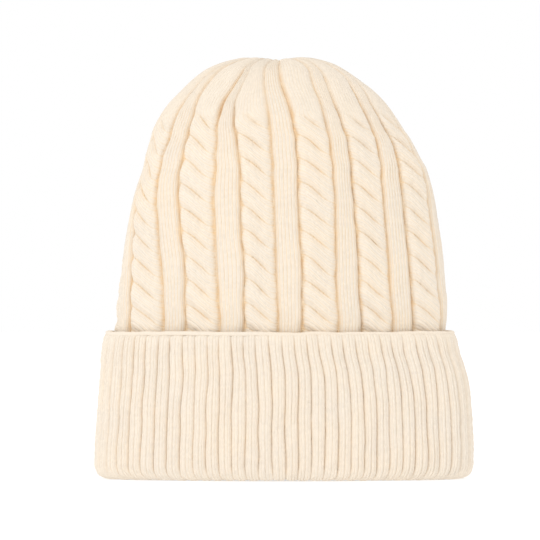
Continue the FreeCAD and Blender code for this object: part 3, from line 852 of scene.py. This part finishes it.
outside, inside = body_outside(), body_inside()
half_cable = CABLE_WALES * COLS_PER_WALE // 2 // SPLIT
half_band = BAND_WALES * COLS_PER_WALE // 2 // SPLIT
body_pieces = []
for n in range(REPEATS):  # from the back round by -X
    middle = int(round((n + 0.5) * CPR))
    name = "cable_%02d" % (n + 1)
    body_pieces.append(body_strip(name, middle, half_cable, MAT_CABLE, straight=False))
    name = "rib_band_%02d" % (n + 1)
    body_pieces.append(body_strip(name, n * CPR, half_band, MAT_RIB, straight=True))
for piece in body_pieces:
    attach(piece, "hat")
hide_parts("knit_body")


# ---------------------------------------------------------------- cuff, welt and band
def rib_columns():
    """Arc fraction of each column, and its place across its rib (-0.5 to 0.5). The ribs have
    slightly unequal widths, and column 0 is in the middle of the back."""
    widths = 1 + 0.05 * np.random.default_rng(17).uniform(-1, 1, RIBS)
    widths /= widths.sum()
    starts = np.concatenate([[0], np.cumsum(widths)])
    k = np.arange(NR) / CPB
    i = np.floor(k).astype(int)
    return (starts[i] + (k - i) * widths[i]) * 2 - 1, k - i - 0.5


RIB_FRACTION, RIB_X = (values[None, :] for values in rib_columns())


def ribbed(along, depth, seed, fade=1.0):
    """Relief, painted shade and u of the ribbing: crowned ribs of four wales with a groove down
    their middle, and valleys between them, with the painted shade in the valleys and the groove."""
    shape = (len(along), NR)

    def rough(cells, added):
        return noise(shape, cells, seed + added)

    x = RIB_X + 0.02 * rough((14, RIBS), 0)
    aside = np.abs(x) * 2
    body = dome(aside, 5.4)
    wale = x * 4.0
    wales = np.abs(np.sin(np.pi * wale)) ** 0.7
    from_edge = np.mod(wale, 1.0) - 0.5
    middle = bell(x, 0, 0.055) * (1 + 0.35 * rough((5, RIBS), 15))
    grain = rough((56, RIBS * 4), 21)
    own = 1 + 0.22 * rough((3, RIBS), 9)
    strand = np.mod(along / ROWH - np.abs(from_edge) + 0.15 * rough((20, 40), 3), 1.0)
    rise = depth * own * (body - 1) * fade - 0.80 * aside**2 * fade
    fine = 0.62 * (wales - 1) * body**0.3 * (1 + 0.25 * rough((6, 99), 7))
    fine = fine + 0.18 * (half_circle(strand) - 0.6) * body
    fine = fine - 0.42 * middle * fade + 0.21 * grain
    ladder = 0.24 * np.sin(TAU * along / ROWH + 2.0 * rough((9, RIBS), 5)) * (1 - body)
    # painted shade in the valleys, at the holes and down each rib's middle groove, made uneven by
    # the grain
    valley_shade = np.clip((0.5 - body) / 0.5, 0, 1) ** 1.2 * fade * 0.50 * own
    hollow = valley_shade * (0.72 + 0.50 * holes(along)) + 0.08 * middle * fade
    hollow = np.clip(hollow * (1 + 0.8 * grain) + 0.05 * grain, 0, 1)
    return rise + fine + ladder, hollow, wale


def ribbed_ring(name, points, hollow, across, up):
    """A ring in ribbing. The rows come from the top down on the outside, so the grid is turned
    over to keep the faces outwards."""
    across = across + 4.0 * (np.arange(NR) // CPB)[None, :]
    grid = Grid(points, -normals(points, wrap_rows=True), layered(across, up / ROWH), hollow)
    return ring(name, Grid(*(part[::-1] for part in grid)), MAT_CUFF)


def make_cuff():
    sections, along = path(CUFF_OUT, FINE_ROW)
    z = sections[0]
    along = along[-1] - along  # rows of stitches count up from the fold
    shape = (len(z), NR)
    wander = 0.0016 * noise(shape, (4, 34), seed=41) + 0.0014 * noise(shape, (7, 66), seed=42)
    base = place(sections, RIB_FRACTION + wander)
    fade = (0.35 + 0.65 * smooth(85.5, 76.0, z)) * (0.42 + 0.58 * smooth(1.0, 9.0, z))
    height, hollow, across = ribbed(along, depth=1.95, seed=51, fade=fade)
    height = height + soft_form(shape, seed=75, amount=0.6) * smooth(0.0, 14.0, z) - 0.15
    front = base - normals(base) * height[..., None]

    sections, back_along = path(CUFF_BACK, CUFF_BACK_ROW)
    base = place(sections, RIB_FRACTION)
    back = base + normals(base) * (-0.25 * np.cos(TAU * RIB_X))[..., None]
    back_shape = back.shape[:2]
    # the cuff's hidden side, against the band, is painted in half shade
    return ribbed_ring(
        "cuff_ribbing",
        np.concatenate([front, back]),
        np.concatenate([hollow, np.full(back_shape, 0.5)]),
        np.concatenate([across, np.broadcast_to(RIB_X * 4, back_shape)]),
        np.concatenate([along, -back_along]),
    )


def make_welt():
    """The smooth tubular edge along the top of the cuff."""
    sides = 20 // SPLIT
    half_x, half_y, side_r = 101.0, 35.1, 21.0
    half_thick, half_tall, level = 1.75, 1.35, 85.55
    angle = np.linspace(0, TAU, sides, endpoint=False)[:, None]
    lift = 0.34 * noise((1, NR), (1, 33), seed=61) + 0.16 * noise((1, NR), (1, 110), seed=62)
    out = np.sign(np.cos(angle)) * np.abs(np.cos(angle)) ** 0.6
    up = np.sign(np.sin(angle)) * np.abs(np.sin(angle)) ** 0.8
    stitch = 0.10 * np.cos(TAU * (RIB_X * 4)) + 0.22 * -(np.abs(RIB_X * 2) ** 4)
    uneven = 1 + 0.02 * noise((sides, NR), (3, 60), seed=63)
    grow = half_thick * out * uneven + stitch
    x, y, _ = oval(half_x + grow, half_y + grow, side_r + grow, RIB_FRACTION)
    points = layered(x + lean(85.5), y, level + lift + half_tall * up)
    uvs = layered(np.arange(NR)[None, :] * 4.0 / CPB, angle / TAU * 8)
    # a little painted shade all over the welt
    grid = Grid(points, normals(points, wrap_rows=True), uvs, np.full(grow.shape, 0.1))
    return ring("cuff_edge_welt", grid, MAT_WELT)


def make_band():
    """The band hidden under the cuff, whose inside shows at the mouth."""
    sections, along = path(BAND_OUT, BAND_ROW)
    along = along[-1] - along
    base = place(sections, RIB_FRACTION)
    height, hollow, across = ribbed(along, depth=2.0, seed=81)
    height = height * smooth(4.5, 12.0, sections[0]) * 0.8 - 0.3
    out = base - normals(base) * height[..., None]

    sections, in_along = path(BAND_IN, BAND_ROW)
    in_along = in_along[-1] - in_along
    base = place(sections, RIB_FRACTION)
    height, in_painted_shade, in_across = ribbed(in_along, depth=1.5, seed=85)
    back = base + normals(base) * (height * 0.85)[..., None]
    return ribbed_ring(
        "rib_band_under_cuff",
        np.concatenate([out, back[::-1]]),
        np.concatenate([hollow, in_painted_shade[::-1]]),
        np.concatenate([across, in_across[::-1]]),
        np.concatenate([along, in_along[::-1]]),
    )


cuff, welt, band = make_cuff(), make_welt(), make_band()
for piece, node, slot in (
    (cuff, "turnup_cuff", "rib_knit"),
    (welt, "cuff_welt", "welt_knit"),
):
    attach(piece, "cuff")
    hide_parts(node)
for piece in (cuff, welt):
    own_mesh(piece)
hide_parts("rib_band")
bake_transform(band)


# ---------------------------------------------------------------- yarn
def frames(line, closed):
    """Two directions square to a line of points, carried along it without twisting."""
    if closed:
        ahead = np.roll(line, -1, 0) - np.roll(line, 1, 0)
    else:
        ahead = np.gradient(line, axis=0)
    ahead = ahead / np.linalg.norm(ahead, axis=1, keepdims=True)

    def squared(direction, i):
        return direction - ahead[i] * np.dot(direction, ahead[i])

    first = np.zeros_like(line)
    direction = np.array([0.0, 0.0, 1.0] if abs(ahead[0, 2]) < 0.8 else [0.0, 1.0, 0.0])
    for i in range(len(line)):
        direction = squared(direction, i)
        direction = direction / np.linalg.norm(direction)
        first[i] = direction
    second = np.cross(ahead, first)
    if closed:  # share out the turn left over where the loop meets itself
        end = squared(first[-1], 0)
        left_over = math.atan2(np.dot(end, second[0]), np.dot(end, first[0]))
        turn = (-left_over * np.arange(len(line)) / len(line))[:, None]
        cos, sin = np.cos(turn), np.sin(turn)
        first, second = first * cos + second * sin, second * cos - first * sin
    return first, second


def run_along(points):
    return np.concatenate([[0], np.cumsum(np.linalg.norm(np.diff(points, axis=0), axis=1))])


def resample(line, step, closed=False):
    if closed:
        line = np.concatenate([line, line[:1]])
    run = run_along(line)
    at = np.linspace(0, run[-1], max(4, int(round(run[-1] / step)) + 1))
    even = np.stack([pchip(run, line[:, k], at) for k in range(3)], 1)
    return even[:-1] if closed else even


def yarn(name, line, radius, material=MAT_YARN, plies=3, lay=4.2, closed=False, seed=1,
         sides=20, end=0.35):
    """A plied yarn along a line of points. lay is the length of one turn of the plies, which
    show as lobes; open ends taper to the share end of the radius."""
    first, second = frames(line, closed)
    count = len(line)
    run = run_along(line)
    total = run[-1] + (np.linalg.norm(line[0] - line[-1]) if closed else 0)
    turns = total / lay
    if closed:
        turns = round(turns * plies) / plies
    angle = np.arange(sides) / sides * 2 * np.pi
    ply = angle[None, :] - TAU * turns * run[:, None] / total
    lobes = 1 - 0.27 * (1 - np.abs(np.cos(plies * ply / 2)) ** 0.75)
    cells = (max(4, count // 6), sides)
    lobes = lobes * (1 + 0.04 * noise((count, sides), cells, seed))
    radii = np.full(count, float(radius))
    if not closed:
        near = np.clip(np.minimum(run, total - run) / (radius * 1.1), 0, 1)
        radii = radii * np.sqrt(np.clip(1 - (1 - near) ** 2, end**2, 1))
    cos, sin = np.cos(angle)[None, :, None], np.sin(angle)[None, :, None]
    outwards = cos * first[:, None, :] + sin * second[:, None, :]
    points = line[:, None, :] + (radii[:, None] * lobes)[..., None] * outwards
    uvs = layered(ply / TAU * plies, run[:, None])
    # painted shade between the plies; the end caps get a little too
    hollow = np.clip((0.9 - lobes) / 0.3, 0, 1) * 0.7
    ends = None if closed else line[[0, -1]]
    return tube(name, points, uvs, hollow, material, ends, end_painted_shade=0.2)


def joined(name, parts):
    """Several closed strands as one piece."""
    bpy.ops.object.select_all(action="DESELECT")
    for part in parts:
        part.select_set(True)
    bpy.context.view_layer.objects.active = parts[0]
    bpy.ops.object.join()
    parts[0].name = name
    parts[0].data.name = name
    return parts[0]


crown_x = lean(242.0)
knot_x = crown_x * 0.8


def make_gather():
    """The drawing-up yarn: threaded in and out of the last row of stitches."""
    k = np.linspace(0, TAU, 240, endpoint=False)
    wave = 0.5 * np.cos(12 * k)
    x = crown_x + (3.75 + wave) * np.cos(k)
    line = np.stack([x, (3.6 + wave) * np.sin(k), 243.9 + 0.7 * np.sin(12 * k)], 1)
    line = resample(line, 0.28, closed=True)
    return yarn("gather_thread", line, radius=0.95, closed=True, lay=3.6, seed=3)


def make_knot():
    """A trefoil knot just under the gather."""
    k = np.linspace(0, TAU, 200, endpoint=False)
    x, y = np.sin(k) + 2 * np.sin(2 * k), -1.25 * np.sin(3 * k)
    z = np.cos(k) - 2 * np.cos(2 * k)
    line = np.stack([x, y, z], 1) * 0.52 * [1.0, 0.95, 0.95] + [knot_x, 0, 239.0]
    line = resample(line, 0.2, closed=True)
    return yarn("gather_knot_yarn", line, radius=0.72, closed=True, lay=3.0, seed=4)


def make_tails():
    """The knot's two tails, with frayed ends, hanging inside the crown."""
    top = 238.2
    parts = []
    for i, (side, bend, bottom) in enumerate(((-1, 1.2, 213.9), (1, -1.5, 216.6))):
        t = np.linspace(0, 1, 12)
        x = knot_x + side * (0.5 + 2.9 * t**0.8 + 0.5 * np.sin(5 * t))
        line = np.stack([x, bend * np.sin(2.6 * t) * 0.5, top - (top - bottom) * t], 1)
        parts.append(yarn(
            "tail_%d" % i, resample(line, 0.3), radius=0.85, lay=3.6, seed=10 + i, end=0.75
        ))
        for j in range(5):
            rng = np.random.default_rng(40 + i * 9 + j)
            way = np.array([rng.uniform(-0.5, 0.5), rng.uniform(-0.5, 0.5), -1.0])
            t = np.linspace(0, 1.9 + rng.uniform(0, 0.9), 8)[:, None]
            fray = line[-1] + way * t * np.hstack([1 + 0.6 * t, np.ones((8, 2))])
            fray[0, 2] += 0.6  # rooted inside the tail
            parts.append(yarn(
                "fray_%d_%d" % (i, j), fray, radius=0.16, plies=2, lay=2.0, seed=60 + j,
                sides=8,
            ))
    return joined("gather_yarn_tails", parts)


for make, node in (
    (make_gather, "gather_yarn"),
    (make_knot, "gather_knot"),
    (make_tails, "yarn_tails"),
):
    piece = make()
    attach(piece, "hat")
    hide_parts(node)


# ---------------------------------------------------------------- seams at the back
# Height and half-depth of the inner wall, from the mouth to the crown
INNER_WALL = np.array(sorted((s[0], s[2]) for s in BODY_IN[1:] + BAND_IN[1:5]), float)


def ridge(name, heights, inset, seed):
    """An overlocked seam inside the back wall: two edges caught under slanting loops."""
    width, thick, loop_pitch = 4.3, 2.3, 2.5
    count, sides = len(heights), 28
    wall = pchip(INNER_WALL[:, 0], INNER_WALL[:, 1], heights)
    angle = (np.arange(sides) / sides * 2 * np.pi)[None, :]
    cos, sin = np.cos(angle), np.sin(angle)
    out_x = np.sign(cos) * np.abs(cos) ** 0.75
    out_y = np.sign(sin) * np.abs(sin) ** 0.85
    z = heights[:, None]
    wave = 0.22 * noise((count, sides), (max(3, count // 40), 4), seed)
    loop = np.abs(np.cos(np.pi * (z / loop_pitch + 0.22 * out_x))) ** 0.8
    chain = bell(out_x, 0, 0.28) * np.abs(np.cos(np.pi * z / loop_pitch)) ** 0.6
    swell = 1 - 0.22 * (1 - loop) + 0.10 * chain
    x = lean(z) + width / 2 * out_x * (0.9 + 0.1 * swell) + 0.15 * wave
    y = (wall - inset)[:, None] + thick / 2 * out_y * swell + 0.3 * wave
    points = layered(x, y, z)
    uvs = layered(angle * 2, z / 1.3)
    # painted shade between the seam's loops, and a little on its end caps
    hollow = np.clip(1 - swell, 0, 1) * 1.6
    ends = points[[0, -1]].mean(1)
    return tube(name, points, uvs, hollow, MAT_YARN, ends, end_painted_shade=0.3)


def make_cuff_thread():
    """Thread that closes the cuff at the back, zigzagging down in its surface."""
    face = np.array(CUFF_OUT[8:1:-1], float)  # its upright part, from the bottom
    z = np.arange(7.6, 83.6, 1.55)
    side = np.where(np.arange(len(z)) % 2 == 0, 1.0, -1.0)
    y = pchip(face[:, 0], face[:, 2], z) - 1.0
    line = resample(np.stack([lean(z) + 0.85 * side, y, z], 1), 0.3)
    return yarn("cuff_back_thread", line, radius=0.5, plies=2, lay=2.6, seed=8, sides=14)


upper = ridge("inside_seam_upper", np.arange(80.0, 234.0, 0.42), inset=1.35, seed=101)
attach(upper, "hat")
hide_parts("body_seam")
lower = ridge("inside_seam_lower", np.arange(8.2, 82.0, 0.42), inset=1.5, seed=103)
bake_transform(lower)
seam = make_cuff_thread()
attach(seam, "cuff")
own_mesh(seam)
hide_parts("cuff_seam")

# ---------------------------------------------------------------- care label
TAPE_START, TAPE_END = 2.75, 32.3  # X of its open end and of its fold
TAPE_LOW, TAPE_HIGH = 22.2, 55.8
TAPE_Y = 20.75
FOLD_R = 0.40  # outside of the fold, so half the doubled thickness
FOLD_IN = 0.14  # inside of the fold
THREAD = 0.42  # pitch of the weave


def make_label():
    """The blank care label: a folded woven tape standing out from the seam towards +X."""
    side = np.linspace(TAPE_START, TAPE_END, 90)
    arc = np.linspace(-np.pi / 2, np.pi / 2, 9)[1:-1]
    across = np.concatenate([side, TAPE_END + FOLD_R * np.cos(arc), side[::-1]])
    face = np.concatenate([np.full(90, -1.0), np.sin(arc), np.full(90, 1.0)])
    z = np.linspace(TAPE_LOW, TAPE_HIGH, 100)[:, None]
    reach = np.clip((across - TAPE_START) / 30.0, 0, 1)
    sag = -0.55 * np.sin(np.pi * reach) ** 1.2
    swing = 0.35 * np.sin((z - 22) / 33.6 * np.pi * 1.3) * reach**1.5
    selvedge = 0.05 * (bell(z, 23.0, 0.7) + bell(z, 55.0, 0.7))

    def sheet(offset):
        fold = TAPE_END + (across - TAPE_END) * offset / FOLD_R
        y = TAPE_Y + sag + swing + face * (offset + selvedge)
        return layered(np.where(across > TAPE_END, fold, across), y, z)

    out, back = sheet(FOLD_R), sheet(FOLD_IN)
    uvs = layered(run_along(out[0]) / THREAD, z / THREAD)
    # no painted shade on the outer sheet, light painted shade on the inner one inside the fold
    hollow = np.zeros(out.shape[:2])
    return slab(
        "care_label_tape",
        Grid(out, normals(out, wrap_cols=False), uvs, hollow),
        Grid(back, -normals(back, wrap_cols=False), uvs, hollow + 0.3),
        MAT_TAPE,
    )


def make_label_stitches():
    parts = []
    t = np.linspace(0, 1, 10)
    for i, z in enumerate((24.5, 33.0, 41.5, 49.5)):
        y = 20.05 + 3.3 * t - 1.1 * np.sin(np.pi * t)
        line = resample(np.stack([3.6 - 2.9 * t, y, z + 1.6 * t - 0.8], 1), 0.15)
        parts.append(yarn(
            "st_%d" % i, line, radius=0.26, material=MAT_THREAD, plies=2, lay=1.2,
            seed=20 + i, sides=10,
        ))
    return joined("label_sewing", parts)


label = make_label()
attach(label, "label")
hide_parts("care_label")
stitches = make_label_stitches()
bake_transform(stitches)
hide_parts("label_stitches")


# ---------------------------------------------------------------- floor, light and camera
def paper_material():
    """Pale paper that glows a little, so that shadows on it stay light."""
    g = Shader("paper_floor")
    diffuse = g.node("BsdfDiffuse", {0: (0.52, 0.52, 0.52, 1)})[0]
    glow = g.node("Emission", {"Color": (1.0, 1.0, 1.0, 1), "Strength": 0.60})[0]
    both = g.node("AddShader", {0: diffuse, 1: glow})[0]
    g.node("OutputMaterial", {0: both})
    return g.material


def make_floor():
    half, z = 6000.0, -0.1
    corners = [(-half, -half, z), (half, -half, z), (half, half, z), (-half, half, z)]
    return make_mesh("floor", corners, [(0, 1, 2, 3)], paper_material())


def light_world(scene):
    # the scene may come without a world, and a world without its background node
    world = scene.world or bpy.data.worlds.new("studio")
    scene.world = world
    world.use_nodes = True
    nodes = world.node_tree.nodes
    background = nodes.get("Background") or nodes.new("ShaderNodeBackground")
    background.inputs[0].default_value = (1.0, 1.0, 1.0, 1)
    background.inputs[1].default_value = 1.0


def add_key_light(scene):
    place_m, aim_m = Vector((-0.9, -1.5, 1.5)), Vector((0, 0, 0.12))  # metres
    data = bpy.data.lights.new("key", "AREA")
    data.shape = "DISK"
    data.size = 0.9
    data.energy = 9.0
    light = bpy.data.objects.new("key", data)
    scene.collection.objects.link(light)
    light.location = place_m
    light.rotation_euler = (aim_m - place_m).to_track_quat("-Z", "Y").to_euler()


def add_camera(scene):
    data = bpy.data.cameras.new("camera")
    camera = bpy.data.objects.new("camera", data)
    scene.collection.objects.link(camera)
    data.sensor_width = 36.0
    data.lens = 36.0 * -CAM[1] / VIEW_WIDTH
    data.clip_end = 50.0
    camera.location = [value * MM for value in CAM]
    camera.rotation_euler = (math.pi / 2, 0, 0)  # level, looking along +Y
    scene.camera = camera


scene = bpy.context.scene
floor = make_floor()
floor.parent = frame["bodies"]["cuff"]  # the hat stands on it with the cuff up or down
light_world(scene)
add_key_light(scene)
add_camera(scene)
view = scene.view_settings
view.view_transform = "Standard"
view.look = "None"
view.exposure = 0.0
view.gamma = 1.0

bpy.context.view_layer.update()
